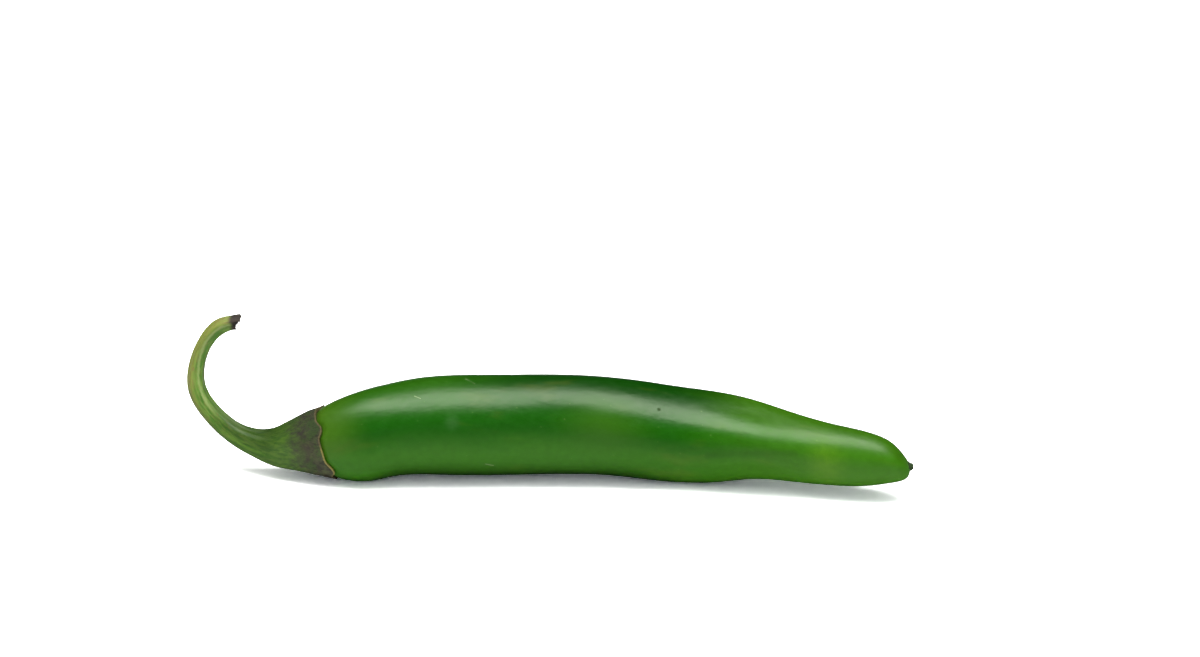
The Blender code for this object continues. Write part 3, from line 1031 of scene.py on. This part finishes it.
class StageSettings(bpy.types.PropertyGroup):
    """Sizes of the floor, and the strength of its light."""

    floor_width: bpy.props.FloatProperty(
        name="Floor width", description="Width of the round pale floor",
        default=0.9, unit="LENGTH", min=0.2, max=5.0)
    light_strength: bpy.props.FloatProperty(
        name="Light strength", description="Brightness of the soft light's face",
        default=7.0, min=0.0, max=50.0)


def pod_values(sizes):
    """What both growth trees are given for the pod's skin."""
    return {"Radius": sizes.pod_radius / MM, "Lobe Height": sizes.lobe_height,
            "Undulation": sizes.undulation, "Neck Lean": sizes.neck_lean}


class PEPPER_OT_pod(bpy.types.Operator):
    """Grow the glossy pod with the dry style at its tip"""

    bl_idname = "pepper.grow_pod"
    bl_label = "Pod"

    def execute(self, context):
        sizes = context.scene.pepper
        line = pod_middle_line()
        tree = pod_tree(pod_skin_material(sizes), scar_material())
        piece = grow("pod_skin", line, tree, pod_values(sizes))
        put_away(line)
        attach(piece, "root")
        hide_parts("pod")
        return {"FINISHED"}


class PEPPER_OT_calyx_stem(bpy.types.Operator):
    """Grow the papery calyx and the ribbed stem that it draws into"""

    bl_idname = "pepper.grow_calyx_stem"
    bl_label = "Calyx and stem"

    def execute(self, context):
        sizes = context.scene.pepper
        pod, stem = pod_middle_line(), stem_middle_line()
        tree = calyx_tree(calyx_material(sizes), fibre_material())
        piece = grow("calyx_and_stem", stem, tree, {
            **pod_values(sizes), "Pod Line": pod,
            "Rib Height": sizes.rib_height, "Cut Fibres": sizes.cut_fibres})
        put_away(pod, stem)
        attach(piece, "root")
        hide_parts("calyx_stem")
        return {"FINISHED"}


class PEPPER_OT_stage(bpy.types.Operator):
    """Lay the floor, and set the light, the surroundings and the camera"""

    bl_idname = "pepper.set_stage"
    bl_label = "Stage"

    def execute(self, context):
        settings = context.scene.pepper_stage
        lay_floor(settings.floor_width)
        hang_light(settings.light_strength)
        set_surroundings()
        aim_camera()
        return {"FINISHED"}


# The stage
FLOOR_WHITE = 0.95
FLOOR_LOST_IN_SHINE = 0.88    # how much darker the floor is where the skin mirrors it
FLOOR_WON_BEHIND = 0.30       # how much of that comes back behind the pepper
FLOOR_MORE_SEEN = 0.78        # how much brighter it is to the camera, which also sees its glow
FLOOR_GLOW = (0.014, 0.024, 0.032)
BEHIND_FROM, BEHIND_TO = 0.020, 0.060
FLOOR_SIDES = 96
LIGHT_WIDTH, LIGHT_DEPTH = 0.72, 0.46
LIGHT_PLACE = (-0.01, -0.09, 0.60)
FILLS = (                 # name, how wide it is and how far it is tilted, in degrees, and its strength
    ("front_fill", 120.0, 45.0, 0.77 * math.pi),
    ("rear_fill", 150.0, -60.0, 0.9),
)
ROOM_STRENGTH = 0.06          # the surroundings as a light, then as the camera sees them
SEEN_STRENGTH = 1.20


def lay_floor(width):
    """A pale disc, which the camera sees nearly white and the glossy skin mirrors dimly."""
    disc = bmesh.new()
    bmesh.ops.create_circle(disc, cap_ends=True, radius=width / 2.0, segments=FLOOR_SIDES)
    mesh = bpy.data.meshes.new("floor")
    disc.to_mesh(mesh)
    disc.free()
    material, tree = new_material("floor_white")
    seen = tree.add("ShaderNodeLightPath", {}, {}, "Is Camera Ray")
    mirrored = seen.other("Is Glossy Ray")
    _, back, _ = tree.parts(tree.add("ShaderNodeTexCoord", {}, {}, "Object"))
    lost = FLOOR_LOST_IN_SHINE - back.fade(BEHIND_FROM, BEHIND_TO) * FLOOR_WON_BEHIND
    albedo = FLOOR_WHITE - mirrored * lost + seen * FLOOR_MORE_SEEN
    glow = tree.tint(seen, (0.0, 0.0, 0.0), FLOOR_GLOW)
    finish_material(tree, {"Roughness": 1.0, "Specular IOR Level": 0.0, "Emission Strength": 1.0},
                    Base_Color=tree.combine(albedo, albedo, albedo), Emission_Color=glow)
    mesh.materials.append(material)
    new_object("floor", mesh)


def hang_light(strength):
    """A wide soft light overhead, its middle a little towards the camera, and the fills."""
    light = bpy.data.lights.new("soft_light", "AREA")
    light.shape = "ELLIPSE"
    light.size = LIGHT_WIDTH
    light.size_y = LIGHT_DEPTH
    light.energy = strength * math.pi * LIGHT_WIDTH * LIGHT_DEPTH * math.pi / 4.0
    new_object("soft_light", light).location = LIGHT_PLACE
    for name, width, tilt, energy in FILLS:
        hang_fill(name, width, tilt, energy)


def hang_fill(name, width, tilt, energy):
    """A very broad light that brightens the greens and isn't mirrored by the skin."""
    light = bpy.data.lights.new(name, "SUN")
    light.angle = math.radians(width)
    light.energy = energy
    light.cycles.use_multiple_importance_sampling = False
    lamp = new_object(name, light)
    lamp.rotation_euler = (math.radians(tilt), 0.0, 0.0)
    lamp.visible_glossy = False


def set_surroundings():
    """White behind everything that the camera sees, and a dim room that the skin doesn't mirror."""
    world = bpy.data.worlds.new("surroundings")
    world.use_nodes = True
    world.node_tree.nodes.clear()
    tree = Tree(world.node_tree)
    seen = tree.add("ShaderNodeLightPath", {}, {}, "Is Camera Ray")
    mirrored = seen.other("Is Glossy Ray")
    strength = ROOM_STRENGTH - mirrored * ROOM_STRENGTH + seen * (SEEN_STRENGTH - ROOM_STRENGTH)
    room = tree.add("ShaderNodeBackground", {}, {"Color": (1.0, 1.0, 1.0, 1.0), "Strength": strength})
    tree.add("ShaderNodeOutputWorld", {}, {"Surface": room})
    bpy.context.scene.world = world


CAMERA_AZIMUTH = math.radians(2.0)
CAMERA_ELEVATION = math.radians(20.0)
CAMERA_DISTANCE = 600.0
CAMERA_RIGHT = 6.54       # the view's middle, from the middle of the drawn pod
CAMERA_UP = 24.67
LENS = 110.16
FILM_WIDTH = 36.0


def aim_camera():
    sine, cosine = math.sin(CAMERA_AZIMUTH), math.cos(CAMERA_AZIMUTH)
    level, height = math.cos(CAMERA_ELEVATION), math.sin(CAMERA_ELEVATION)
    back = Vector((sine * level, -cosine * level, height))
    right = Vector((cosine, sine, 0.0))
    up = back.cross(right)
    camera = bpy.data.cameras.new("camera")
    camera.lens = LENS
    camera.sensor_width = FILM_WIDTH
    camera.clip_start = 0.01
    camera.clip_end = 20.0
    holder = new_object("camera", camera)
    middle = right * CAMERA_RIGHT + up * CAMERA_UP
    holder.location = drawing_origin() + (middle + back * CAMERA_DISTANCE) * MM
    holder.rotation_mode = "QUATERNION"
    holder.rotation_quaternion = (-back).to_track_quat("-Z", "Y")
    scene = bpy.context.scene
    scene.camera = holder
    view = scene.view_settings
    view.view_transform = "Standard"
    view.look = "None"
    view.exposure = 0.0
    view.gamma = 1.0


class PEPPER_PT_sidebar(bpy.types.Panel):
    """Pepper tools"""

    bl_label = "Chilli pepper"
    bl_space_type = "VIEW_3D"
    bl_region_type = "UI"
    bl_category = "Pepper"

    def draw(self, context):
        column = self.layout.column()
        for operator in OPERATORS:
            column.operator(operator.bl_idname)
        for settings in (context.scene.pepper, context.scene.pepper_stage):
            for name in settings.__annotations__:
                column.prop(settings, name)


OPERATORS = (PEPPER_OT_pod, PEPPER_OT_calyx_stem, PEPPER_OT_stage)
CLASSES = (PepperSettings, StageSettings, *OPERATORS, PEPPER_PT_sidebar)


def register():
    for item in CLASSES:
        bpy.utils.register_class(item)
    bpy.types.Scene.pepper = bpy.props.PointerProperty(type=PepperSettings)
    bpy.types.Scene.pepper_stage = bpy.props.PointerProperty(type=StageSettings)


def unregister():
    del bpy.types.Scene.pepper_stage
    del bpy.types.Scene.pepper
    for item in reversed(CLASSES):
        bpy.utils.unregister_class(item)


def main():
    register()
    bpy.ops.pepper.grow_pod()
    bpy.ops.pepper.grow_calyx_stem()
    bpy.ops.pepper.set_stage()


if __name__ == "__main__":
    main()
